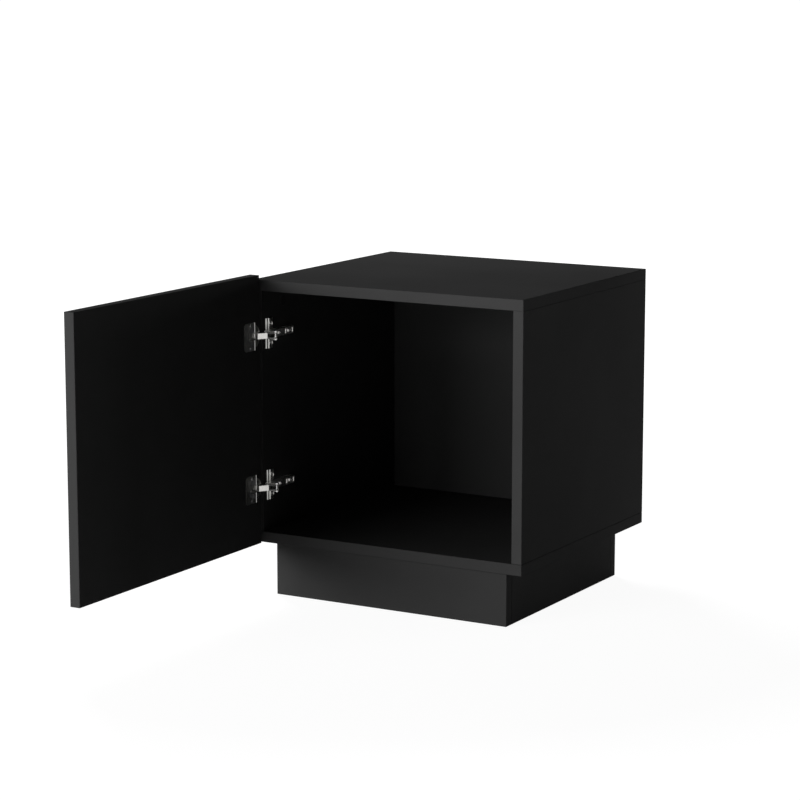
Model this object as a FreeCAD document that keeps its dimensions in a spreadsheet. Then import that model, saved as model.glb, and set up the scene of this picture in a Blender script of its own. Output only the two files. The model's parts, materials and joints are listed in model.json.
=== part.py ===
import FreeCAD, Part
import os
import re

import Sketcher

# Low side cabinet with one door, hung on the left by two concealed hinges and standing open at
# a right angle. Millimetres, +Z up, +X to the right, +Y to the back. The origin is the middle of
# the underside of the plinth's front rail.

doc = FreeCAD.newDocument("side_cabinet")

SIZES = (
    # carcass
    ("width", 500, "outside width of the box and of its door"),
    ("depth", 450, "front to back, without the door"),
    ("board", 18, "thickness of every board"),
    ("carcass_height", 439, "height of the box above its plinth"),
    ("plinth_height", 90, "height of the plinth"),
    ("plinth_front", 15, "setback of the plinth at the front"),
    ("plinth_side", 34, "setback of the plinth at each side"),
    ("plinth_back", 34, "setback of the plinth at the back"),
    ("arris", 0.6, "chamfer of the board edges"),
    # fittings of the carcass
    ("grid", 32, "spacing of the joint holes"),
    ("dowel_radius", 4, "radius of the beech dowels"),
    ("dowel_length", 30, "length of a dowel"),
    ("dowel_seat", 11, "depth of a dowel in the face of a board"),
    ("dowel_room", 1, "spare depth beyond a dowel in the end of a board"),
    ("cam_radius", 7.5, "radius of the cam housing"),
    ("cam_depth", 12.5, "depth of the cam housing"),
    ("cam_reach", 24, "cam centre to the end of its board"),
    ("bolt_radius", 3.5, "radius of the cam bolt's head"),
    ("bolt_thread", 2.8, "radius of the cam bolt's shank"),
    ("bolt_play", 0.3, "play of the bolt's head in the cam"),
    ("bolt_bite", 11, "depth of the cam bolt in the top board"),
    ("cap_radius", 8.5, "radius of the cap over a cam"),
    ("cap_height", 1, "thickness of the cap over a cam"),
    ("panel_screw_radius", 3.5, "shank radius of the long panel screw"),
    ("panel_screw_head", 5, "head radius of the long panel screw"),
    ("panel_screw_sink", 3, "height of the long panel screw's head"),
    ("panel_screw_length", 50, "length of the long panel screw"),
    ("block_size", 28, "width of a corner block"),
    ("block_height", 60, "height of a corner block"),
    ("block_screw_radius", 2.25, "shank radius of the corner block's screw"),
    ("block_screw_head", 4.5, "head radius of the corner block's screw"),
    ("block_screw_length", 50, "length of the corner block's screw"),
    ("screw_cover", 4, "wood left above the tip of a corner block's screw"),
    # door, standing open
    ("door_rise", 9, "height of the door beyond that of the box"),
    ("door_inside", 0.8, "open door's inner face inside the left side's inner face"),
    ("door_ahead", 7.9, "open door's hinge edge in front of the carcass"),
    # concealed hinges
    ("hinge_low", 95, "lower hinge above the underside of the box"),
    ("hinge_high", 90, "upper hinge below the top of the box"),
    ("hole_line", 22, "line of the mounting plate's screws behind the front"),
    ("wing_height", 50, "height of the mounting plate's wings"),
    ("wing_depth", 12, "front to back of the wings"),
    ("wing_thick", 3, "thickness of the wings"),
    ("lip_depth", 5, "front to back of the thin lip in front of the wings"),
    ("lip_thick", 1.5, "thickness of the thin lip in front of the wings"),
    ("plate_front", 10, "front end of the mounting plate's ridge"),
    ("plate_rear", 74, "rear end of the mounting plate's ridge"),
    ("ridge_width", 9.4, "width of the mounting plate's ridge"),
    ("plate_screw_radius", 2.5, "shank radius of the plate screws"),
    ("plate_screw_head", 3.9, "head radius of the plate screws"),
    ("plate_screw_length", 13, "length of the plate screws below the wing"),
    ("arm_rear", 78, "rear end of the hinge arm behind the front"),
    ("arm_rise", 12, "top of the arm's straight part above the side"),
    ("arm_foot", 3.4, "lower edge of the arm above the side"),
    ("arm_slope", 26, "where the arm starts to climb towards its nose"),
    ("web_front", 13, "front end of the arm's web behind the front"),
    ("arm_width", 12.8, "outside width of the arm"),
    ("arm_wall", 1.2, "wall of the arm"),
    ("fixing_screw_back", 64, "screw that fixes the arm, behind the front"),
    ("fixing_screw_head", 3.6, "head radius of the fixing screw"),
    ("adjusting_screw_back", 34, "screw that adjusts the arm, behind the front"),
    ("adjusting_screw_head", 3, "head radius of the adjusting screw"),
    ("arm_screw_radius", 2, "shank radius of the arm's screws"),
    ("arm_screw_rise", 1.8, "height of the heads of the arm's screws"),
    ("arm_screw_length", 9, "length of the arm's screws below their heads"),
    ("low_pivot_rise", 6.7, "outer link's pivot on the arm, above the side"),
    ("low_pivot_back", 1.5, "outer link's pivot on the arm, behind the front"),
    ("high_pivot_rise", 23.9, "inner link's pivot on the arm, above the side"),
    ("high_pivot_back", 3.6, "inner link's pivot on the arm, behind the front"),
    ("nose_low", 2.6, "radius of the arm's cheek round the outer link's pivot"),
    ("nose_high", 3.8, "radius of the arm's cheek round the inner link's pivot"),
    ("pivot_slack_rise", 0.27, "centre of the open pivot's hole above its pin"),
    ("pivot_slack_back", -0.09, "centre of the open pivot's hole behind its pin"),
    ("pivot_slack", 0.95, "play round the open pivot's pin"),
    ("pin_radius", 1.25, "radius of the hinge pins"),
    ("pin_play", 0.05, "play of a link on its pin"),
    ("pin_head", 3.4, "head radius of the open pivot's pin"),
    ("pin_head_thick", 0.8, "thickness of the open pivot pin's heads"),
    ("side_play", 0.2, "play between pieces that slide past each other"),
    ("eye_radius", 2.05, "outside radius of a link's eye"),
    ("link_thick", 1.5, "thickness of the outer link"),
    ("link_width", 6.2, "width of the outer link"),
    ("bend_ahead", 14.4, "bend of the outer link in front of the carcass"),
    ("bend_rise", 3.0, "bend of the outer link above the side"),
    ("leg_gap", 6.8, "gap between the inner link's legs"),
    ("leg_wall", 1.2, "thickness of the inner link's legs"),
    ("leg_height", 2.6, "height of the inner link's legs"),
    ("leg_lift", 0.9, "middle of a leg off the link's centre line"),
    ("bridge_start", 3.5, "start of the bridge between the legs, from the cup pins"),
    ("bridge_end", 20, "end of the bridge between the legs, from the cup pins"),
    ("bridge_high", 7.9, "underside of the bridge at its start, off the link's centre line"),
    ("bridge_low", 2.4, "underside of the bridge at its end, off the link's centre line"),
    ("bridge_thick", 1.1, "thickness of the bridge"),
    ("cup_radius", 17.5, "radius of the cup"),
    ("cup_depth", 12, "depth of the cup in the door"),
    ("cup_wall", 0.8, "wall of the cup"),
    ("cup_centre", 20.5, "cup centre to the door's hinge edge"),
    ("rim_radius", 19.5, "radius of the cup's rim"),
    ("flange_near", 16, "flange's near end to the door's hinge edge"),
    ("flange_far", 45.5, "flange's far end to the door's hinge edge"),
    ("flange_height", 46, "height of the flange"),
    ("flange_corner", 5, "rounding of the flange's far corners"),
    ("flange_thick", 1.2, "thickness of the rim and the flange"),
    ("bead_height", 0.6, "height of the bead along the flange's near end"),
    ("bead_width", 1.2, "width of the bead along the flange's near end"),
    ("damper_play", 0.3, "play round the damper in the cup"),
    ("slot_far", 34, "far end of the links' slot in the damper, to the door's hinge edge"),
    ("slot_depth", 10.6, "near end of the links' slot in the damper, below the door's face"),
    ("deep_pin_edge", 6.96, "outer link's pin in the cup, from the door's hinge edge"),
    ("deep_pin_depth", 5.24, "outer link's pin in the cup, below the door's face"),
    ("shallow_pin_edge", 9.56, "inner link's pins in the cup, from the door's hinge edge"),
    ("shallow_pin_depth", 2.88, "inner link's pins in the cup, below the door's face"),
    ("notch_width", 12, "width of the notch in the rim, over the links"),
    ("lug_gap", 9.8, "gap between the lugs in the cup"),
    ("lug_wall", 1.5, "thickness of a lug in the cup"),
    ("cup_screw_line", 30, "cup screws to the door's hinge edge"),
    ("cup_screw_spread", 37, "distance between the two cup screws"),
    ("cup_screw_radius", 1.75, "shank radius of the cup screws"),
    ("cup_screw_head", 3.3, "head radius of the cup screws"),
    ("cup_screw_length", 13, "length of the cup screws below the flange"),
)

sheet = doc.addObject("Spreadsheet::Sheet", "Sizes")
for row, (alias, value, meaning) in enumerate(SIZES, 1):
    sheet.set("A%d" % row, alias)
    sheet.set("B%d" % row, str(value))
    sheet.set("C%d" % row, meaning)
    sheet.setAlias("B%d" % row, alias)
doc.recompute()

NAMES = {alias for alias, value, meaning in SIZES}

# Places worked out from the sizes
FRONT = "(-plinth_front - board / 2)"
BACK = f"({FRONT} + depth)"
SIDE_FACE = "(board - width / 2)"
TOP_UNDER = "(plinth_height + carcass_height - board)"
FLOOR_TOP = "(plinth_height + board)"
INNER_HEIGHT = "(carcass_height - 2 * board)"
INNER_WIDTH = "(width - 2 * board)"

# Turns that point a feature's own +Z another way
UP = FreeCAD.Rotation()
DOWN = FreeCAD.Rotation(FreeCAD.Vector(1, 0, 0), 180)
RIGHT = FreeCAD.Rotation(FreeCAD.Vector(0, 1, 0), 90)
LEFT = FreeCAD.Rotation(FreeCAD.Vector(0, 1, 0), -90)
BACKWARD = FreeCAD.Rotation(FreeCAD.Vector(1, 0, 0), -90)
FORWARD = FreeCAD.Rotation(FreeCAD.Vector(1, 0, 0), 90)
# Fittings on the inner face of a side, or of the open door: own Y points up and Z off the face
ON_LEFT = FreeCAD.Rotation(FreeCAD.Vector(0, 1, 0), FreeCAD.Vector(0, 0, 1), FreeCAD.Vector(1, 0, 0))
ON_RIGHT = FreeCAD.Rotation(FreeCAD.Vector(0, -1, 0), FreeCAD.Vector(0, 0, 1), FreeCAD.Vector(-1, 0, 0))
# The door is drawn shut and stands open a quarter turn, clockwise from above
OPEN_DOOR = FreeCAD.Rotation(FreeCAD.Vector(0, 0, 1), -90)

nodes = []


# ---------------------------------------------------------------- helpers

def bound(formula):
    """Point the size names in a formula at the sheet."""
    return re.sub(r"[a-z_]+", lambda word: "Sizes." + word.group() if word.group() in NAMES
                  else word.group(), formula)


def bind(item, **formulas):
    for name, formula in formulas.items():
        item.setExpression(name, bound(formula))


def move(item, x, y, z):
    for axis, formula in zip("xyz", (x, y, z)):
        item.setExpression("Placement.Base." + axis, bound(formula))


def place(item, x, y, z, turn=UP):
    item.Placement = FreeCAD.Placement(FreeCAD.Vector(), turn)
    move(item, x, y, z)


def new_body(label):
    body = doc.addObject("PartDesign::Body", label)
    body.Label = label
    return body


def finish(item):
    """Keep a sub-part that is handed over as a node."""
    nodes.append(item)
    return item


def group(label, members):
    """Several solids that share one node."""
    holder = doc.addObject("Part::Compound", label)
    holder.Label = label
    holder.Links = members
    return finish(holder)


def box(body, kind, x, y, z, length, width, height):
    item = body.newObject("PartDesign::%sBox" % kind, "box")
    bind(item, Length=length, Width=width, Height=height)
    place(item, x, y, z)
    return item


def cylinder(body, kind, radius, length, x, y, z, turn=UP):
    item = body.newObject("PartDesign::%sCylinder" % kind, "cylinder")
    bind(item, Radius=radius, Height=length)
    place(item, x, y, z, turn)
    return item


def countersunk_hole(body, head, shank, sink, x, y, z):
    """A hole through a plate whose top is at z, opened out over the plate's whole thickness."""
    item = body.newObject("PartDesign::SubtractiveCone", "countersink")
    bind(item, Radius1=shank, Radius2=head, Height=sink)
    place(item, x, y, f"{z} - {sink}")
    return item


def crosswise(body, kind, radius, length, point):
    """A cylinder across a hinge, centred on its middle plane, at a point of its side view."""
    return cylinder(body, kind, radius, length, point[0], f"-({length}) / 2", point[1], BACKWARD)


def strut(body, start, end, thick, across):
    """A bar in a hinge's side view, from one point to another, centred across the hinge."""
    run = f"({end[0]} - {start[0]})"
    rise = f"({end[1]} - {start[1]})"
    slope = f"atan2({rise}; {run})"
    item = body.newObject("PartDesign::AdditiveBox", "strut")
    bind(item, Length=f"hypot({run}; {rise})", Width=across, Height=thick)
    item.Placement = FreeCAD.Placement(FreeCAD.Vector(), FreeCAD.Rotation(FreeCAD.Vector(0, -1, 0), 1))
    item.setExpression("Placement.Rotation.Angle", bound(slope))
    move(item, f"{start[0]} + {thick} / 2 * sin({slope})", f"-{across} / 2",
         f"{start[1]} - {thick} / 2 * cos({slope})")
    return item


def outline(body, corners):
    """A closed sketch in a body's XZ plane through corners given as pairs of formulas."""
    sketch = body.newObject("Sketcher::SketchObject", "outline")
    plane = [item for item in body.Origin.OriginFeatures if item.Role == "XZ_Plane"][0]
    sketch.AttachmentSupport = [(plane, "")]
    sketch.MapMode = "FlatFace"
    count = len(corners)
    step = FreeCAD.Rotation(FreeCAD.Vector(0, 0, 1), 360 / count)
    points = [FreeCAD.Vector(1, 0, 0)]
    for index in range(1, count):
        points.append(step.multVec(points[-1]))
    for index in range(count):
        sketch.addGeometry(Part.LineSegment(points[index], points[(index + 1) % count]), False)
    for index, (along, up) in enumerate(corners):
        sketch.addConstraint(Sketcher.Constraint("Coincident", index, 2, (index + 1) % count, 1))
        for kind, start, formula in (("DistanceX", points[index].x, along),
                                     ("DistanceY", points[index].y, up)):
            held = sketch.addConstraint(Sketcher.Constraint(kind, index, 1, start))
            sketch.setExpression("Constraints[%d]" % held, bound(formula))
    return sketch


def across_middle(body, kind, corners, across):
    """A side-view outline made solid, or cut away, half to each side of the middle plane."""
    sketch = outline(body, corners)
    feature = body.newObject("PartDesign::%s" % kind, kind.lower())
    feature.Profile = sketch
    feature.Midplane = True
    bind(feature, Length=across)
    return feature


def turned(label, corners):
    """A piece turned about its own Z from half of its outline."""
    body = new_body(label)
    sketch = outline(body, corners)
    feature = body.newObject("PartDesign::Revolution", "turned")
    feature.Profile = sketch
    feature.ReferenceAxis = (sketch, ["V_Axis"])
    feature.Angle = 360
    return body


def dress(body, kind, wanted, **size):
    """A fillet or chamfer on those edges of the body's last feature that the test picks."""
    doc.recompute()
    base = body.Tip
    names = ["Edge%d" % number for number, edge in enumerate(base.Shape.Edges, 1)
             if wanted(edge.BoundBox)]
    feature = body.newObject("PartDesign::%s" % kind, kind.lower())
    feature.Base = (base, names)
    bind(feature, **size)
    return feature


def upright(extent):
    return extent.XLength + extent.YLength < 1e-6


def board(label, length, width, height, start="0"):
    """A flat board with softened edges, drawn from its own corner."""
    body = new_body(label)
    box(body, "Additive", "0", start, "0", length, width, height)
    dress(body, "Chamfer", lambda extent: True, Size="arris")
    return finish(body)


def screw(label, head, shank, length, sink, sunk=False):
    """A screw with the top of its head at its own origin and its shank pointing down."""
    rim = () if sunk else ((head, f"-{sink}"),)
    body = turned(label, (("0", "0"), (head, "0")) + rim + (
        (shank, f"-{sink}"), (shank, f"{shank} - {length}"), ("0", f"-{length}")))
    cross_recess(body, head, sink)
    return body


def cross_recess(body, width, depth):
    """A cross cut into the top of a fitting at its own z = 0."""
    for long_side, short_side in ((width, f"{width} / 4"), (f"{width} / 4", width)):
        box(body, "Subtractive", f"-{long_side} / 2", f"-{short_side} / 2", f"-{depth} / 2",
            long_side, short_side, f"{depth} / 2")


# ---------------------------------------------------------------- fittings of the carcass

def dowel(label):
    body = new_body(label)
    cylinder(body, "Additive", "dowel_radius", "dowel_length", "0", "0", "0")
    return body


def cam_housing(label):
    """A cam let into a face at z = 0, with a pocket towards +Y for the head of its bolt."""
    body = new_body(label)
    cylinder(body, "Additive", "cam_radius", "cam_depth", "0", "0", "-cam_depth")
    cylinder(body, "Subtractive", "bolt_radius + bolt_play", "cam_radius + bolt_radius + bolt_play",
             "0", "-bolt_radius - bolt_play", "-board / 2", BACKWARD)
    cross_recess(body, "cam_radius", "cam_depth / 3")
    return body


def cam_cap(label):
    return turned(label, (("0", "0"), ("cap_radius", "0"), ("cap_radius", "cap_height / 3"),
                          ("cap_radius - 1", "cap_height"), ("0", "cap_height")))


def cam_bolt(label):
    """A bolt screwed up into the top board from z = 0, its head hanging in the cam."""
    return turned(label, (
        ("0", "bolt_bite"), ("bolt_thread", "bolt_bite"), ("bolt_thread", "1 - cam_reach"),
        ("bolt_radius", "1 - cam_reach"), ("bolt_radius", "-cam_reach - 1"), ("0", "-cam_reach - 1")))


def panel_screw(label):
    return screw(label, "panel_screw_head", "panel_screw_radius", "panel_screw_length",
                 "panel_screw_sink")


def block_screw(label):
    return screw(label, "block_screw_head", "block_screw_radius", "block_screw_length",
                 "block_screw_radius", sunk=True)


def scatter(label, make, places):
    """One node of like fittings, each set at its own place."""
    members = []
    for number, where in enumerate(places, 1):
        member = make("%s_%d" % (label, number))
        place(member, *where)
        members.append(member)
    return group(label, members)


# ---------------------------------------------------------------- carcass

def front_and_back(inset):
    """Two places along the depth of a side, from the front and from the back."""
    return inset, f"(depth - {inset})"


def build_carcass():
    top = board("top_board", "width", "depth", "board")
    place(top, "-width / 2", FRONT, TOP_UNDER)
    bottom = board("bottom_board", "width", "depth", "board")
    place(bottom, "-width / 2", FRONT, "plinth_height")
    left = board("left_side", "board", "depth", INNER_HEIGHT)
    place(left, "-width / 2", FRONT, FLOOR_TOP)
    right = board("right_side", "board", "depth", INNER_HEIGHT)
    place(right, "width / 2 - board", FRONT, FLOOR_TOP)
    back = board("back_board", INNER_WIDTH, "board", INNER_HEIGHT)
    place(back, SIDE_FACE, f"{BACK} - board", FLOOR_TOP)

    join_side_dowels(top, left, right)
    join_back_dowels(back, left, right)
    join_cams(top, left, right)
    join_panel_screws(bottom, left, right)
    return bottom, left


def join_side_dowels(top, left, right):
    """Dowels standing in the upper end of each side."""
    in_end = "(dowel_length - dowel_seat + dowel_room)"
    places = []
    for side, middle in ((left, "(board / 2)"), (right, "(width - board / 2)")):
        for y in front_and_back("grid"):
            cylinder(side, "Subtractive", "dowel_radius", in_end, "board / 2", y, f"{INNER_HEIGHT} - {in_end}")
            cylinder(top, "Subtractive", "dowel_radius", "dowel_seat", middle, y, "0")
            places.append((f"{middle} - width / 2", f"{FRONT} + {y}", f"{TOP_UNDER} + dowel_seat - dowel_length"))
    scatter("side_dowels", dowel, places)


def join_back_dowels(back, left, right):
    """Dowels lying between each side and the back board."""
    in_edge = "dowel_length - dowel_seat + dowel_room"
    places = []
    for z in ("(3 * grid)", f"({INNER_HEIGHT} - 3 * grid)"):
        for side, face, edge, outward, inward, x in (
                (left, "board", "0", LEFT, RIGHT, f"{SIDE_FACE} - dowel_seat"),
                (right, "0", INNER_WIDTH, RIGHT, LEFT, f"dowel_seat - {SIDE_FACE}")):
            cylinder(side, "Subtractive", "dowel_radius", "dowel_seat", face, "depth - board / 2", z, outward)
            cylinder(back, "Subtractive", "dowel_radius", in_edge, edge, "board / 2", z, inward)
            places.append((x, f"{BACK} - board / 2", f"{FLOOR_TOP} + {z}", inward))
    scatter("back_dowels", dowel, places)


def join_cams(top, left, right):
    """Cams near the top of each side, each drawing a bolt down out of the top board."""
    cam_places, bolt_places = [], []
    cam_z = f"({INNER_HEIGHT} - cam_reach)"
    for side, middle, face, face_x, outward, turn in (
            (left, "(board / 2)", "board", SIDE_FACE, LEFT, ON_LEFT),
            (right, "(width - board / 2)", "0", f"-{SIDE_FACE}", RIGHT, ON_RIGHT)):
        for y in front_and_back("(2 * grid)"):
            cylinder(side, "Subtractive", "cam_radius", "cam_depth", face, y, cam_z, outward)
            cylinder(side, "Subtractive", "bolt_radius + bolt_play", "cam_reach", "board / 2", y, cam_z)
            cylinder(top, "Subtractive", "bolt_thread", "bolt_bite", middle, y, "0")
            cam_places.append((face_x, f"{FRONT} + {y}", f"{FLOOR_TOP} + {cam_z}", turn))
            bolt_places.append((f"{middle} - width / 2", f"{FRONT} + {y}", TOP_UNDER))
    scatter("cam_housings", cam_housing, cam_places)
    scatter("cam_caps", cam_cap, cam_places)
    scatter("cam_bolts", cam_bolt, bolt_places)


def join_panel_screws(bottom, left, right):
    """Long screws up through the bottom board into each side."""
    places = []
    for side, middle in ((left, "(board / 2)"), (right, "(width - board / 2)")):
        for y in front_and_back("(2 * grid)"):
            cylinder(bottom, "Subtractive", "panel_screw_head", "panel_screw_sink", middle, y, "0")
            cylinder(bottom, "Subtractive", "panel_screw_radius", "board", middle, y, "0")
            cylinder(side, "Subtractive", "panel_screw_radius", "panel_screw_length - board", "board / 2", y, "0")
            places.append((f"{middle} - width / 2", f"{FRONT} + {y}", "plinth_height", DOWN))
    scatter("panel_screws", panel_screw, places)


# ---------------------------------------------------------------- plinth

def build_plinth(bottom):
    span = "(width - 2 * plinth_side)"
    front = f"({FRONT} + plinth_front)"
    back = f"({BACK} - plinth_back)"
    run = "depth - plinth_front - plinth_back - 2 * board"
    for label, x, y, length, width in (
            ("plinth_front_rail", f"-{span} / 2", front, span, "board"),
            ("plinth_back_rail", f"-{span} / 2", f"{back} - board", span, "board"),
            ("plinth_left_rail", f"-{span} / 2", f"{front} + board", "board", run),
            ("plinth_right_rail", f"{span} / 2 - board", f"{front} + board", "board", run)):
        place(board(label, length, width, "plinth_height"), x, y, "0")

    inset = "(board + block_size / 2)"
    counterbore = "(block_height + board - screw_cover - block_screw_length)"
    block_places, screw_places = [], []
    for x in (f"({inset} - {span} / 2)", f"({span} / 2 - {inset})"):
        for y in (f"({front} + {inset})", f"({back} - {inset})"):
            cylinder(bottom, "Subtractive", "block_screw_radius", "board - screw_cover",
                     f"{x} + width / 2", f"{y} - {FRONT}", "0")
            block_places.append((x, y, "plinth_height - block_height"))
            screw_places.append((x, y, f"plinth_height - block_height + {counterbore}", DOWN))

    def corner_block(label):
        block = new_body(label)
        box(block, "Additive", "-block_size / 2", "-block_size / 2", "0",
            "block_size", "block_size", "block_height")
        cylinder(block, "Subtractive", "block_screw_radius", "block_height", "0", "0", "0")
        cylinder(block, "Subtractive", "block_screw_head", counterbore, "0", "0", "0")
        sink = block.newObject("PartDesign::SubtractiveCone", "countersink")
        bind(sink, Radius1="block_screw_head", Radius2="block_screw_radius", Height="block_screw_radius")
        place(sink, "0", "0", counterbore)
        return block

    scatter("corner_blocks", corner_block, block_places)
    scatter("block_screws", block_screw, screw_places)


# ---------------------------------------------------------------- door

def build_door():
    """The door board, drawn shut: X from its hinge edge, its inner face at y = 0."""
    door = board("door_board", "width", "board", "carcass_height + door_rise", start="-board")
    place(door, f"{SIDE_FACE} + door_inside", f"{FRONT} - door_ahead", "plinth_height", OPEN_DOOR)
    return door


# ---------------------------------------------------------------- hinges

# Points of a hinge's side view: behind the front of the carcass, and off the side's inner face.
# The outer link runs from the low pivot to the deep pin, the inner link from the high pivot to
# the shallow pins. The high pivot's pin plays in a wider hole of the arm.
LOW_PIVOT = ("low_pivot_back", "low_pivot_rise")
HIGH_PIVOT = ("high_pivot_back", "high_pivot_rise")
HIGH_HOLE = ("(high_pivot_back + pivot_slack_back)", "(high_pivot_rise + pivot_slack_rise)")
DEEP_PIN = ("(-door_ahead - deep_pin_edge)", "(door_inside - deep_pin_depth)")
SHALLOW_PIN = ("(-door_ahead - shallow_pin_edge)", "(door_inside - shallow_pin_depth)")
BEND = ("(-bend_ahead)", "bend_rise")


def on_link(*corners):
    """Points of the side view from places along the inner link's centre line and off it."""
    run = f"({HIGH_PIVOT[0]} - {SHALLOW_PIN[0]})"
    rise = f"({HIGH_PIVOT[1]} - {SHALLOW_PIN[1]})"
    return [(f"({SHALLOW_PIN[0]} + ({along} * {run} - {lift} * {rise}) / hypot({run}; {rise}))",
             f"({SHALLOW_PIN[1]} + ({along} * {rise} + {lift} * {run}) / hypot({run}; {rise}))")
            for along, lift in corners]


def hinge_piece(body, height):
    """Set a piece drawn in the hinge's side view at its hinge's height."""
    place(body, SIDE_FACE, FRONT, height, ON_LEFT)
    return finish(body)


def build_mounting_plate(name, height):
    plate = new_body(name + "_mounting_plate")
    step = "(hole_line - wing_depth / 2)"
    across_middle(plate, "Pad", (
        (f"{step} - lip_depth", "0"), ("hole_line + wing_depth / 2", "0"),
        ("hole_line + wing_depth / 2", "wing_thick"), (f"{step} + wing_thick - lip_thick", "wing_thick"),
        (step, "lip_thick"), (f"{step} - lip_depth + lip_thick", "lip_thick")), "wing_height")
    box(plate, "Additive", "plate_front", "-arm_width / 2", "0",
        "plate_rear - plate_front", "arm_width", "wing_thick")
    box(plate, "Additive", "plate_front", "-ridge_width / 2", "0",
        "plate_rear - plate_front", "ridge_width", "arm_rise - arm_wall")
    for side in ("", "-"):
        countersunk_hole(plate, "plate_screw_head", "plate_screw_radius", "wing_thick",
                         "hole_line", f"{side}grid / 2", "wing_thick")
    for back in ("fixing_screw_back", "adjusting_screw_back"):
        cylinder(plate, "Subtractive", "arm_screw_radius", "arm_screw_length - arm_wall",
                 back, "0", "arm_rise - arm_screw_length")
    hinge_piece(plate, height)

    members = []
    for side in ("+", "-"):
        one = screw(f"{name}_plate_screw_{len(members) + 1}", "plate_screw_head", "plate_screw_radius",
                    "(plate_screw_length + wing_thick)", "wing_thick", sunk=True)
        place(one, f"{SIDE_FACE} + wing_thick", f"{FRONT} + hole_line", f"{height} {side} grid / 2", ON_LEFT)
        members.append(one)
    group(name + "_plate_screws", members)


def build_arm(name, height):
    """A channel that is open towards the side, with a nose that carries both links."""
    arm = new_body(name + "_arm")
    peak = f"({HIGH_HOLE[1]} + nose_high)"
    climb = f"(({peak} - arm_rise) / (arm_slope - {HIGH_HOLE[0]}))"
    across_middle(arm, "Pad", (
        ("arm_rear", "arm_foot"), ("arm_rear", "arm_rise"), ("arm_slope", "arm_rise"),
        (HIGH_HOLE[0], peak), (f"{HIGH_HOLE[0]} - nose_high", HIGH_HOLE[1]),
        (f"{LOW_PIVOT[0]} - nose_low", "low_pivot_rise"), ("low_pivot_back", "low_pivot_rise - nose_low"),
        ("plate_front", "arm_foot")), "arm_width")
    rise = float(sheet.arm_rise)
    dress(arm, "Fillet", lambda extent: extent.YLength < 1e-6 and extent.ZMin > rise - 0.1
          and extent.XMax > float(sheet.arm_slope) - 0.1, Radius="arm_wall * 0.7")
    crosswise(arm, "Additive", "nose_low", "arm_width", LOW_PIVOT)
    crosswise(arm, "Additive", "nose_high", "arm_width", HIGH_HOLE)
    under_web = f"arm_rise + {climb} * (arm_slope - web_front) - 1.3 * arm_wall"
    across_middle(arm, "Pocket", (
        ("-2 * nose_low", "0"), ("arm_rear + 1", "0"), ("arm_rear + 1", "arm_rise - arm_wall"),
        ("arm_slope - arm_wall / 3", "arm_rise - arm_wall"), ("web_front", under_web),
        ("web_front", f"{peak} + 1"), ("-2 * nose_low", f"{peak} + 1")), "arm_width - 2 * arm_wall")
    crosswise(arm, "Subtractive", "pin_radius", "arm_width", LOW_PIVOT)
    crosswise(arm, "Subtractive", "pin_radius + pivot_slack", "arm_width", HIGH_HOLE)
    for back in ("fixing_screw_back", "adjusting_screw_back"):
        cylinder(arm, "Subtractive", "arm_screw_radius", "arm_wall", back, "0", "arm_rise - arm_wall")
    hinge_piece(arm, height)

    for piece in ("fixing", "adjusting"):
        one = screw(f"{name}_{piece}_screw", f"{piece}_screw_head", "arm_screw_radius",
                    "(arm_screw_length + arm_screw_rise)", "arm_screw_rise")
        place(one, f"{SIDE_FACE} + arm_rise + arm_screw_rise", f"{FRONT} + {piece}_screw_back",
              height, ON_LEFT)
        finish(one)

    pin = new_body(name + "_arm_pin")
    crosswise(pin, "Additive", "pin_radius", "arm_width + pin_head_thick", LOW_PIVOT)
    hinge_piece(pin, height)


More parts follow.
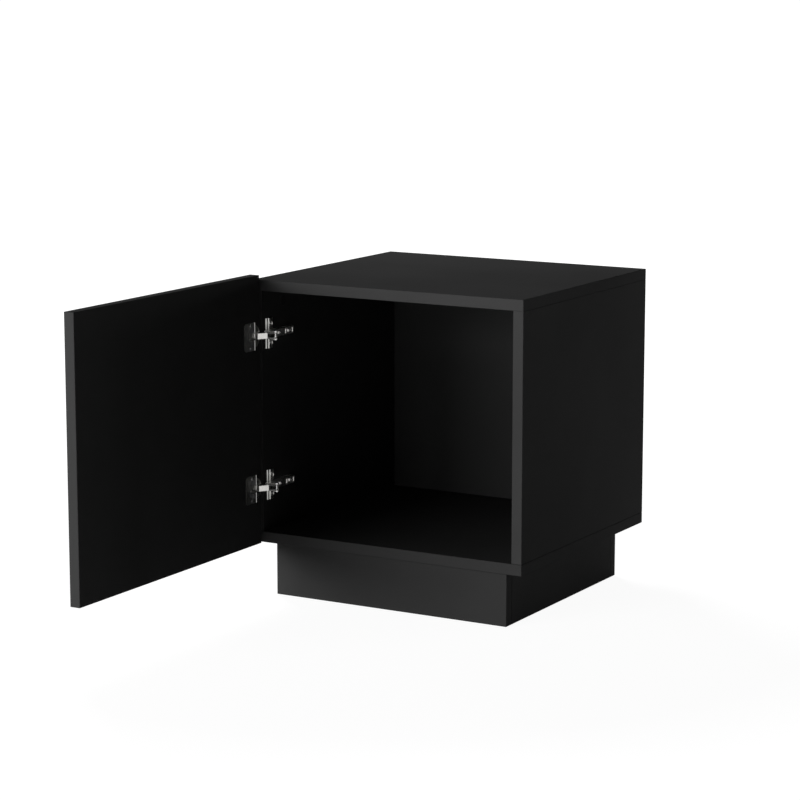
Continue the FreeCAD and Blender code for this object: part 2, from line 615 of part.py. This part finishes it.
def build_links(name, height):
    outer = new_body(name + "_outer_link")
    strut(outer, DEEP_PIN, BEND, "link_thick", "link_width")
    crosswise(outer, "Additive", "link_thick / 2", "link_width", BEND)
    strut(outer, BEND, LOW_PIVOT, "link_thick", "link_width")
    for point in (DEEP_PIN, LOW_PIVOT):
        crosswise(outer, "Additive", "eye_radius", "link_width", point)
        crosswise(outer, "Subtractive", "pin_radius + pin_play", "link_width", point)
    hinge_piece(outer, height)

    # two legs joined by a bridge that slants over the outer link
    inner = new_body(name + "_inner_link")
    width = "(leg_gap + 2 * leg_wall)"
    whole = f"hypot({HIGH_PIVOT[0]} - {SHALLOW_PIN[0]}; {HIGH_PIVOT[1]} - {SHALLOW_PIN[1]})"
    foot, crest = "(leg_lift - leg_height / 2)", "(leg_lift + leg_height / 2)"
    across_middle(inner, "Pad", on_link(
        ("0", foot), (whole, foot), (whole, crest), ("bridge_end", crest),
        ("bridge_end", "(bridge_low + bridge_thick)"), ("bridge_start", "(bridge_high + bridge_thick)"),
        ("(-0.7 * eye_radius)", "(0.7 * eye_radius)")), width)
    for point in (SHALLOW_PIN, HIGH_PIVOT):
        crosswise(inner, "Additive", "eye_radius", width, point)
    beyond = f"({whole} + 2 * eye_radius)"
    over = "(bridge_high + 2 * bridge_thick)"
    across_middle(inner, "Pocket", on_link(
        ("(-2 * eye_radius)", "(-2 * eye_radius)"), (beyond, "(-2 * eye_radius)"),
        (beyond, "(2 * eye_radius)"), ("bridge_end", "(2 * eye_radius)"), ("bridge_end", "bridge_low"),
        ("bridge_start", "bridge_high"), ("bridge_start", over), ("(-2 * eye_radius)", over)), "leg_gap")
    crosswise(inner, "Subtractive", "pin_radius + pin_play", width, SHALLOW_PIN)
    crosswise(inner, "Subtractive", "pin_radius", width, HIGH_PIVOT)
    hinge_piece(inner, height)

    # the inner link carries this pin, whose heads cover the wider holes in the arm's cheeks
    pin = new_body(name + "_link_pin")
    cheeks = "(arm_width + 2 * side_play)"
    crosswise(pin, "Additive", "pin_radius", cheeks, HIGH_PIVOT)
    for y in (f"{cheeks} / 2", f"-{cheeks} / 2 - pin_head_thick"):
        cylinder(pin, "Additive", "pin_head", "pin_head_thick", HIGH_PIVOT[0], y, HIGH_PIVOT[1], BACKWARD)
    hinge_piece(pin, height)


def build_cup(name, height):
    """The cup, drawn on the open door's face with its centre at its own origin."""
    cup = new_body(name + "_cup")
    box(cup, "Additive", "cup_centre - flange_far", "-flange_height / 2", "0",
        "flange_far - flange_near", "flange_height", "flange_thick")
    dress(cup, "Fillet", lambda extent: upright(extent) and extent.XMax < 0, Radius="flange_corner")
    cylinder(cup, "Additive", "rim_radius", "flange_thick", "0", "0", "0")
    cylinder(cup, "Additive", "cup_radius", "cup_depth", "0", "0", "-cup_depth")
    cylinder(cup, "Subtractive", "cup_radius - cup_wall", "cup_depth - cup_wall + flange_thick",
             "0", "0", "cup_wall - cup_depth")
    bead_start = "(cup_centre - flange_near - bead_width)"
    bead_end = "(cup_centre - flange_near)"
    bead_top = "(flange_thick + bead_height)"
    across_middle(cup, "Pad", (
        (bead_start, "0"), (bead_end, "0"), (bead_end, bead_top),
        (f"{bead_start} + bead_height", bead_top), (bead_start, "flange_thick")), "flange_height")
    box(cup, "Subtractive", "0", "-notch_width / 2", "0",
        "rim_radius", "notch_width", bead_top)
    lug_end = "sqrt((cup_radius - cup_wall / 2) ^ 2 - (lug_gap / 2 + lug_wall) ^ 2)"
    lug_start = "(cup_centre - shallow_pin_edge - 2 * pin_radius)"
    for y in ("lug_gap / 2", "-lug_gap / 2 - lug_wall"):
        box(cup, "Additive", lug_start, y, "cup_wall - cup_depth",
            f"{lug_end} - {lug_start}", "lug_wall", "cup_depth - cup_wall")
    across = "(lug_gap + 2 * lug_wall)"
    deep = ("(cup_centre - deep_pin_edge)", "(-deep_pin_depth)")
    shallow = ("(cup_centre - shallow_pin_edge)", "(-shallow_pin_depth)")
    for point in (deep, shallow):
        crosswise(cup, "Subtractive", "pin_radius", across, point)
    screw_x = "(cup_centre - cup_screw_line)"
    for side in ("", "-"):
        countersunk_hole(cup, "cup_screw_head", "cup_screw_radius", "flange_thick",
                         screw_x, f"{side}cup_screw_spread / 2", "flange_thick")
    door_face = f"{SIDE_FACE} + door_inside"
    edge = f"{FRONT} - door_ahead"
    place(finish(cup), door_face, f"{edge} - cup_centre", height, ON_LEFT)

    # one long pin for the outer link, and a short one for each leg of the inner link
    pins = [new_body(f"{name}_cup_pin_{number}") for number in (1, 2, 3)]
    crosswise(pins[0], "Additive", "pin_radius", across, deep)
    short = "(lug_gap / 2 + lug_wall - leg_gap / 2)"
    cylinder(pins[1], "Additive", "pin_radius", short, shallow[0], "leg_gap / 2", shallow[1], BACKWARD)
    cylinder(pins[2], "Additive", "pin_radius", short, shallow[0], f"-leg_gap / 2 - {short}",
             shallow[1], BACKWARD)
    for pin in pins:
        place(pin, door_face, f"{edge} - cup_centre", height, ON_LEFT)
    group(name + "_cup_pins", pins)

    # fills the cup up to the bead, but for a sloping slot that the links fold down into
    damper = new_body(name + "_damper")
    radius = "(cup_radius - cup_wall - damper_play)"
    near = f"({bead_start} - damper_play)"
    cylinder(damper, "Additive", radius, "cup_depth - cup_wall + flange_thick",
             "0", "0", "cup_wall - cup_depth")
    box(damper, "Subtractive", near, f"-{radius}", "cup_wall - cup_depth",
        radius, f"2 * {radius}", "cup_depth + flange_thick")
    across_middle(damper, "Pocket", (
        ("(cup_centre - slot_far)", "flange_thick"), (near, "-slot_depth"),
        ("cup_centre", "-slot_depth"), ("cup_centre", "flange_thick")),
        "arm_width + 4 * side_play")
    place(finish(damper), door_face, f"{edge} - cup_centre", height, ON_LEFT)

    members = []
    for side in ("+", "-"):
        one = screw(f"{name}_cup_screw_{len(members) + 1}", "cup_screw_head", "cup_screw_radius",
                    "(cup_screw_length + flange_thick)", "flange_thick", sunk=True)
        place(one, f"{door_face} + flange_thick", f"{edge} - cup_screw_line",
              f"{height} {side} cup_screw_spread / 2", ON_LEFT)
        members.append(one)
    group(name + "_cup_screws", members)


def bore_for_hinge(left, door, above_underside):
    """Holes for one hinge in the left side and in the door."""
    for side in ("+", "-"):
        cylinder(left, "Subtractive", "plate_screw_radius", "plate_screw_length", "board", "hole_line",
                 f"{above_underside} - board {side} grid / 2", LEFT)
        cylinder(door, "Subtractive", "cup_screw_radius", "cup_screw_length", "cup_screw_line", "0",
                 f"{above_underside} {side} cup_screw_spread / 2", FORWARD)
    cylinder(door, "Subtractive", "cup_radius", "cup_depth", "cup_centre", "0", above_underside, FORWARD)


def build_hinges(left, door):
    for name, above_underside in (("lower", "hinge_low"), ("upper", "(carcass_height - hinge_high)")):
        height = f"plinth_height + {above_underside}"
        bore_for_hinge(left, door, above_underside)
        build_mounting_plate(name, height)
        build_arm(name, height)
        build_links(name, height)
        build_cup(name, height)


# ---------------------------------------------------------------- assembly

bottom_board, left_side = build_carcass()
build_plinth(bottom_board)
door_board = build_door()
build_hinges(left_side, door_board)
doc.recompute()

for item in doc.Objects:
    if "Invalid" in item.State or "Error" in item.State:
        raise RuntimeError("%s did not compute" % item.Label)

os.makedirs("parts", exist_ok=True)
for node in nodes:
    if node.Shape.isNull() or not node.Shape.isValid():
        raise RuntimeError("%s is not a sound shape" % node.Label)
    node.Shape.exportStep("parts/%s.step" % node.Label)
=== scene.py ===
import json
import math

import bmesh
import bpy
from mathutils import Matrix, Vector


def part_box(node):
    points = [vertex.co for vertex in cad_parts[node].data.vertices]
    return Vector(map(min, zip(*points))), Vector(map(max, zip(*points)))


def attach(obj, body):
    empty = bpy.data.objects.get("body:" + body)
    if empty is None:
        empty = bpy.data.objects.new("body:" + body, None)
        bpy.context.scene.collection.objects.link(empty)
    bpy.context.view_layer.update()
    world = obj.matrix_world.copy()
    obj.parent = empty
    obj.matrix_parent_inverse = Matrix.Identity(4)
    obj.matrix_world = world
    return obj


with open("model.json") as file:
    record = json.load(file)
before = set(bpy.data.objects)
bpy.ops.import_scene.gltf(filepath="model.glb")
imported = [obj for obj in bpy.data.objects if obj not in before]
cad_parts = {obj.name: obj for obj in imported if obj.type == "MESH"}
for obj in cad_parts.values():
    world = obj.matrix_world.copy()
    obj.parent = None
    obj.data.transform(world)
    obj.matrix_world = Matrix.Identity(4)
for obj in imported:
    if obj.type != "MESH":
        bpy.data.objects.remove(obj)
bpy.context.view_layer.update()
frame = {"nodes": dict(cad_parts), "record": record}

MM = 0.001


# ---------------------------------------------------------------- node trees

class Nodes:
    """Shorthand for the node tree of a new material."""

    def __init__(self, name):
        self.material = bpy.data.materials.new(name)
        self.material.use_nodes = True
        self.tree = self.material.node_tree
        self.shader = self.tree.nodes["Principled BSDF"]
        where = self.add("ShaderNodeTexCoord")
        self.place, self.outward = where.outputs["Object"], where.outputs["Normal"]

    def add(self, kind, **settings):
        node = self.tree.nodes.new(kind)
        for name, value in settings.items():
            setattr(node, name, value)
        return node

    def feed(self, socket, value):
        """Links a socket to the given one, or sets it to the given constant."""
        if isinstance(value, bpy.types.NodeSocket):
            self.tree.links.new(value, socket)
        else:
            socket.default_value = value

    def scaled(self, scale):
        node = self.add("ShaderNodeMapping")
        self.feed(node.inputs["Vector"], self.place)
        node.inputs["Scale"].default_value = scale
        return node.outputs["Vector"]

    def noise(self, scale, detail, stretch=None):
        node = self.add("ShaderNodeTexNoise")
        self.feed(node.inputs["Vector"], self.scaled(stretch) if stretch else self.place)
        node.inputs["Scale"].default_value = scale
        node.inputs["Detail"].default_value = detail
        node.inputs["Roughness"].default_value = 0.5
        return node.outputs["Fac"]

    def ramp(self, value, low, high, out_low=0.0, out_high=1.0):
        node = self.add("ShaderNodeMapRange")
        self.feed(node.inputs["Value"], value)
        for name, number in (("From Min", low), ("From Max", high),
                             ("To Min", out_low), ("To Max", out_high)):
            node.inputs[name].default_value = number
        return node.outputs["Result"]

    def math(self, operation, first, second=0.0):
        node = self.add("ShaderNodeMath", operation=operation)
        self.feed(node.inputs[0], first)
        self.feed(node.inputs[1], second)
        return node.outputs[0]

    def mixed(self, first, second, share):
        """The first value, with this share of it given to the second one."""
        return self.math("ADD", self.math("MULTIPLY", first, 1.0 - share),
                         self.math("MULTIPLY", second, share))

    def blend(self, amount, first, second):
        """Goes from the first colour to the second."""
        node = self.add("ShaderNodeMix", data_type="RGBA")
        colours = [socket for socket in node.inputs if socket.type == "RGBA"]
        self.feed(node.inputs[0], amount)
        self.feed(colours[0], first)
        self.feed(colours[1], second)
        return next(socket for socket in node.outputs if socket.type == "RGBA")

    def axes(self, vector):
        node = self.add("ShaderNodeSeparateXYZ")
        self.feed(node.inputs["Vector"], vector)
        return node.outputs

    def bump(self, height, distance, strength, under=None):
        node = self.add("ShaderNodeBump")
        node.inputs["Distance"].default_value = distance
        node.inputs["Strength"].default_value = strength
        self.feed(node.inputs["Height"], height)
        if under:
            self.feed(node.inputs["Normal"], under)
        return node.outputs["Normal"]

    def set(self, **sockets):
        for name, value in sockets.items():
            self.feed(self.shader.inputs[name.replace("_", " ")], value)


def rgb(red, green, blue):
    return (red, green, blue, 1.0)


def grey(level):
    return rgb(level, level, level)


# ---------------------------------------------------------------- materials

FACE_TONES = (grey(0.049), grey(0.057))
LIT_BAND_TONES = (grey(0.060), grey(0.068))  # edge banding, a shade lighter: painted light that stands in for the light the front edges catch
GAP_TONE = grey(0.012)                   # the joint line at the foot of the sides
GAP_END, GAP_CLEAR = 0.6 * MM, 1.2 * MM  # how far up that line is dark, and where it is gone
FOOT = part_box("bottom_board")[1][2]      # the sides stand here
LEG_SHADE_TONE = grey(0.09)                    # painted shade on the edges of the inner links' legs
CUT_ROUGHER = 0.25                       # what they add to the roughness
BRIDGE_END = -31.2 * MM                  # Y behind which an inner link is legs, not bridge

# Ranges of a noise, or of one part of a normal, over which a look changes.
TONE_RANGE = (0.35, 0.65)
GRAIN_RANGE = (0.3, 0.7)
FACING_RANGE = (0.3, 0.6)


def board_material(name, lit_banding):
    """Black foil-faced board with a fine pebble; with edge banding, the edges facing front and
    back are a shade lighter, which is also painted light for the light the front edges catch.
    """
    m = Nodes(name)
    pebble = m.noise(2600.0, 2.0)
    wide = m.noise(240.0, 3.0)
    spread = m.ramp(m.mixed(m.noise(5.0, 2.0), pebble, 0.4), *TONE_RANGE)
    colour = m.blend(spread, *FACE_TONES)
    if lit_banding:
        looks = m.axes(m.outward)
        # Painted light with the banding: edges facing front and back take the lighter band tone.
        front = m.ramp(m.math("ABSOLUTE", looks["Y"]), *FACING_RANGE)
        colour = m.blend(front, colour, m.blend(spread, *LIT_BAND_TONES))
        clear = m.ramp(m.math("SUBTRACT", m.axes(m.place)["Z"], FOOT), GAP_END, GAP_CLEAR)
        level = m.math("ABSOLUTE", looks["Z"])
        colour = m.blend(m.math("MAXIMUM", clear, level), GAP_TONE, colour)
    m.set(Base_Color=colour, Specular_IOR_Level=0.0,
          Roughness=m.ramp(wide, *GRAIN_RANGE, 0.62, 0.72),
          Normal=m.bump(wide, 0.05 * MM, 0.6, m.bump(pebble, 0.03 * MM, 0.6)))
    return m.material


def plated_material(name, low, high, shine, shade_and_cut_behind=None):
    """Plated metal: slightly uneven gloss, with fine specks and rolling marks.

    Behind the given Y (in metres) the sheet's edges are painted darker, as painted shade, and are
    made rougher.
    """
    m = Nodes(name)
    marks = m.noise(900.0, 2.0, stretch=(1.0, 1.0, 0.12))
    colour = m.blend(m.ramp(m.noise(90.0, 4.0), *TONE_RANGE), low, high)
    gloss = m.ramp(marks, *GRAIN_RANGE, shine, shine + 0.08)
    if shade_and_cut_behind is not None:
        behind = m.ramp(m.axes(m.place)["Y"], shade_and_cut_behind - MM / 2, shade_and_cut_behind + MM / 2)
        edge = m.ramp(m.math("ABSOLUTE", m.axes(m.outward)["Z"]), *FACING_RANGE, 1.0, 0.0)
        shade_and_cut = m.math("MULTIPLY", behind, edge)
        # Painted shade: the legs' edges take the dark tone; they are also made rougher.
        colour = m.blend(shade_and_cut, colour, LEG_SHADE_TONE)
        gloss = m.math("ADD", gloss, m.math("MULTIPLY", shade_and_cut, CUT_ROUGHER))
    m.set(Base_Color=colour, Roughness=gloss, Metallic=1.0, Normal=m.bump(marks, 0.004 * MM, 0.4))
    return m.material


def wood_material(name):
    """Pale beech with short flecks along the grain."""
    m = Nodes(name)
    grain = m.noise(60.0, 6.0, stretch=(1.0, 1.0, 0.08))
    fleck = m.noise(500.0, 2.0, stretch=(1.0, 1.0, 0.2))
    tone = m.mixed(grain, fleck, 0.3)
    colour = m.blend(m.ramp(tone, *TONE_RANGE), rgb(0.43, 0.25, 0.13), rgb(0.60, 0.40, 0.23))
    m.set(Base_Color=colour, Roughness=m.ramp(fleck, *GRAIN_RANGE, 0.5, 0.7),
          Normal=m.bump(tone, 0.1 * MM, 0.5))
    return m.material


def moulded_material(name, low, high, roughness, gloss):
    """Moulded plastic with a fine spark-eroded grain."""
    m = Nodes(name)
    grain = m.noise(3500.0, 2.0)
    m.set(Base_Color=m.blend(m.ramp(grain, *GRAIN_RANGE), low, high), Specular_IOR_Level=gloss,
          Roughness=m.ramp(grain, *GRAIN_RANGE, roughness, roughness + 0.1),
          Normal=m.bump(grain, 0.02 * MM, 0.6))
    return m.material


NICKEL = (rgb(0.58, 0.57, 0.55), rgb(0.66, 0.65, 0.63), 0.26)  # two tones and the shine

FINISHES = {
    "beech": wood_material("beech"),
    "nickel_plate": plated_material("nickel_plate", *NICKEL),
    "plated_screw": plated_material("plated_screw", grey(0.58), rgb(0.68, 0.68, 0.67), 0.24),
    "zinc_casting": plated_material("zinc_casting", rgb(0.40, 0.40, 0.41), rgb(0.50, 0.50, 0.51),
                                    0.38),
    "black_plastic": moulded_material("black_plastic", grey(0.020), grey(0.028), 0.5, 0.1),
    "grey_plastic": moulded_material("grey_plastic", grey(0.19), grey(0.25), 0.45, 0.4),
}
BOARD = board_material("black_board", False)
LIT_BANDING_BOARD = board_material("black_board_lit_banding", True)
# A darker, slightly rougher copy of the nickel plate, for the mounting plates and cups.
DARKER_NICKEL = plated_material("darker_nickel", rgb(0.35, 0.35, 0.34), rgb(0.43, 0.43, 0.41), 0.30)
# A copy of the nickel with painted shade on the edges of the inner links' legs.
LEG_SHADE_NICKEL = plated_material("leg_shaded_nickel", *NICKEL, BRIDGE_END)


def finish_of(part):
    """The record's slot gives the finish, apart from a few nodes that need their own."""
    if part["node"] in ("top_board", "left_side", "right_side"):
        return LIT_BANDING_BOARD
    if part["node"].endswith(("mounting_plate", "cup")):
        return DARKER_NICKEL
    # The inner links take the nickel copy with painted shade on their legs' edges.
    if part["node"].endswith("inner_link"):
        return LEG_SHADE_NICKEL
    return FINISHES.get(part["material_slot"], BOARD)


for part in frame["record"]["subparts"]:
    piece = frame["nodes"][part["node"]]
    piece.data.materials.clear()
    piece.data.materials.append(finish_of(part))


# ---------------------------------------------------------------- small pressings

# The outline of a screw's rim in mm: radius, and rise over the mounting plate.
RIM_OUTLINE = ((4.0, -0.2), (4.05, 0.35), (4.3, 0.7), (4.7, 0.7), (5.1, 0.35), (5.3, -0.2))

# The ribs across an arm, in mm.
RIB_RADIUS = 0.9
RIB_HALF = 3.2             # half the length of the straight run between its round ends
RIB_SUNK = 1.8             # its middle line lies this far under the top of the fixing screw
RIB_STEPS = (-10.4, 10.5)  # before and behind the fixing screw

SPIN_STEPS = 40
ON_AXIS = 1e-6


def turned(name, outline, looped, axis, middles, slot):
    """Pieces of revolution on the cabinet; the outline is (radius, rise along the axis) in mm.

    It runs clockwise round what it encloses, and looped joins its last point to its first. A
    point on the axis is a single vertex.
    """
    shape = bmesh.new()
    across = Vector((0, 0, 1)) if axis.x else Vector((1, 0, 0))
    runs = [(first, (first + 1) % len(outline)) for first in range(len(outline) - (not looped))]
    for middle in middles:
        poles = {at: shape.verts.new(middle + axis * rise * MM)
                 for at, (radius, rise) in enumerate(outline) if radius < ON_AXIS}
        rings = []
        for step in range(SPIN_STEPS):
            out = Matrix.Rotation(2 * math.pi * step / SPIN_STEPS, 3, axis) @ across
            rings.append([poles[at] if at in poles
                          else shape.verts.new(middle + (out * radius + axis * rise) * MM)
                          for at, (radius, rise) in enumerate(outline)])
        for ring, following in zip(rings, rings[1:] + rings[:1]):
            for first, second in runs:
                corners = (ring[first], ring[second], following[second], following[first])
                face = shape.faces.new(dict.fromkeys(corners))  # at a pole it is a triangle
                face.smooth = True
    mesh = bpy.data.meshes.new(name)
    shape.to_mesh(mesh)
    shape.free()
    mesh.materials.append(FINISHES[slot])
    piece = bpy.data.objects.new(name, mesh)
    bpy.context.scene.collection.objects.link(piece)
    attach(piece, "cabinet")


def screw_rims(hinge):
    """Pressed rim round each screw of the mounting plate."""
    low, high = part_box(hinge + "_plate_screws")
    middle = (low[1] + high[1]) / 2
    head = (high[1] - low[1]) / 2
    places = [Vector((high[0], middle, height)) for height in (low[2] + head, high[2] - head)]
    turned(hinge + "_screw_rims", RIM_OUTLINE, True, Vector((1, 0, 0)), places, "nickel_plate")


def arm_ribs(hinge):
    """Two stiffening ribs pressed across the arm, before and behind its fixing screw."""
    low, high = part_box(hinge + "_fixing_screw")
    middle = (Vector(low) + Vector(high)) / 2
    outline = [(RIB_RADIUS * math.sin(math.radians(turn)),
                RIB_HALF + RIB_RADIUS * math.cos(math.radians(turn))) for turn in range(0, 91, 15)]
    outline += [(radius, -rise) for radius, rise in reversed(outline)]
    places = [Vector((high[0] - RIB_SUNK * MM, middle.y + step * MM, middle.z))
              for step in RIB_STEPS]
    turned(hinge + "_arm_ribs", outline, False, Vector((0, 0, 1)), places, "nickel_plate")


for hinge in ("upper", "lower"):
    screw_rims(hinge)
    arm_ribs(hinge)


# ---------------------------------------------------------------- stage

FLOOR_SIZE = 60.0
FLOOR_HEIGHT = -0.5 * MM
FLOOR_TONE = grey(0.65)
FLOOR_GLOW = 1.2         # what a seen floor adds, so that it shows white
NEAR, FAR = 0.7, 2.2     # distances from the origin, in metres
NEAR_SHARE = 0.79        # the glow's share near the object; the rest keeps the shadow
WORLD_STRENGTH = 1.05    # white for seen rays only: the world throws no light on the object


def seen_ray(tree):
    """1 where the ray comes from the camera, a gloss or a clear pane."""
    path = tree.nodes.new("ShaderNodeLightPath")
    total = path.outputs["Is Camera Ray"]
    for name in ("Is Glossy Ray", "Is Transmission Ray"):
        add = tree.nodes.new("ShaderNodeMath")
        add.operation = "MAXIMUM"
        tree.links.new(total, add.inputs[0])
        tree.links.new(path.outputs[name], add.inputs[1])
        total = add.outputs[0]
    return total


def floor_material():
    """White floor: near the object it keeps the soft shadow, far off it is the plain backdrop."""
    material = bpy.data.materials.new("floor")
    material.use_nodes = True
    tree = material.node_tree
    tree.nodes.clear()
    matte = tree.nodes.new("ShaderNodeBsdfDiffuse")
    matte.inputs["Color"].default_value = FLOOR_TONE
    glow = tree.nodes.new("ShaderNodeEmission")
    glow.inputs["Strength"].default_value = FLOOR_GLOW
    place = tree.nodes.new("ShaderNodeTexCoord")
    away = tree.nodes.new("ShaderNodeVectorMath")
    away.operation = "LENGTH"
    tree.links.new(place.outputs["Object"], away.inputs[0])
    reach = tree.nodes.new("ShaderNodeMapRange")
    tree.links.new(away.outputs["Value"], reach.inputs["Value"])
    for name, number in (("From Min", NEAR), ("From Max", FAR),
                         ("To Min", NEAR_SHARE), ("To Max", 1.0)):
        reach.inputs[name].default_value = number
    share = tree.nodes.new("ShaderNodeMath")
    share.operation = "MULTIPLY"
    tree.links.new(seen_ray(tree), share.inputs[0])
    tree.links.new(reach.outputs["Result"], share.inputs[1])
    mix = tree.nodes.new("ShaderNodeMixShader")
    tree.links.new(share.outputs[0], mix.inputs[0])
    tree.links.new(matte.outputs[0], mix.inputs[1])
    tree.links.new(glow.outputs[0], mix.inputs[2])
    out = tree.nodes.new("ShaderNodeOutputMaterial")
    tree.links.new(mix.outputs[0], out.inputs[0])
    return material


def lay_floor():
    half = FLOOR_SIZE / 2
    mesh = bpy.data.meshes.new("floor")
    mesh.from_pydata([(-half, -half, 0), (half, -half, 0), (half, half, 0), (-half, half, 0)],
                     [], [(0, 1, 2, 3)])
    mesh.materials.append(floor_material())
    plane = bpy.data.objects.new("floor", mesh)
    plane.location = (0, 0, FLOOR_HEIGHT)
    bpy.context.scene.collection.objects.link(plane)


def light_world():
    world = bpy.data.worlds.new("studio")
    bpy.context.scene.world = world
    world.use_nodes = True
    tree = world.node_tree
    background = tree.nodes["Background"]
    background.inputs["Color"].default_value = grey(1.0)
    level = tree.nodes.new("ShaderNodeMapRange")
    tree.links.new(seen_ray(tree), level.inputs["Value"])
    level.inputs["To Min"].default_value = 0.0
    level.inputs["To Max"].default_value = WORLD_STRENGTH
    tree.links.new(level.outputs["Result"], background.inputs["Strength"])


def softbox(name, place, width, height, watts):
    """Area lamp aimed at the box, unseen by the camera; it gets its place and size in metres."""
    aim = Vector((0, 0, 0.3))
    lamp = bpy.data.lights.new(name, "AREA")
    lamp.shape = "RECTANGLE"
    lamp.size = width
    lamp.size_y = height
    lamp.energy = watts
    holder = bpy.data.objects.new(name, lamp)
    holder.location = place
    holder.rotation_euler = (aim - Vector(place)).to_track_quat("-Z", "Y").to_euler()
    holder.visible_camera = False
    bpy.context.scene.collection.objects.link(holder)


lay_floor()
light_world()
softbox("key_softbox", (-2.24, -4.39, 1.17), 3.4, 1.6, 202)
softbox("front_softbox", (-0.15, -5.0, 0.6), 0.8, 0.8, 15)
softbox("back_softbox", (-2.2, 2.0, 2.0), 1.2, 1.2, 97)
softbox("right_softbox", (2.2, 2.2, 0.25), 1.2, 1.2, 18.5)


# ---------------------------------------------------------------- camera

# Solved from the photograph's straight edges, for a square frame.
lens = bpy.data.cameras.new("camera")
lens.lens = 118.48
lens.sensor_width = 36.0
lens.clip_start = 0.05
camera = bpy.data.objects.new("camera", lens)
camera.location = (2.10187, -3.61036, 1.08325)
camera.rotation_euler = (math.radians(80.0), 0, math.radians(30.02))
bpy.context.scene.collection.objects.link(camera)
bpy.context.scene.camera = camera
bpy.context.scene.view_settings.view_transform = "Standard"
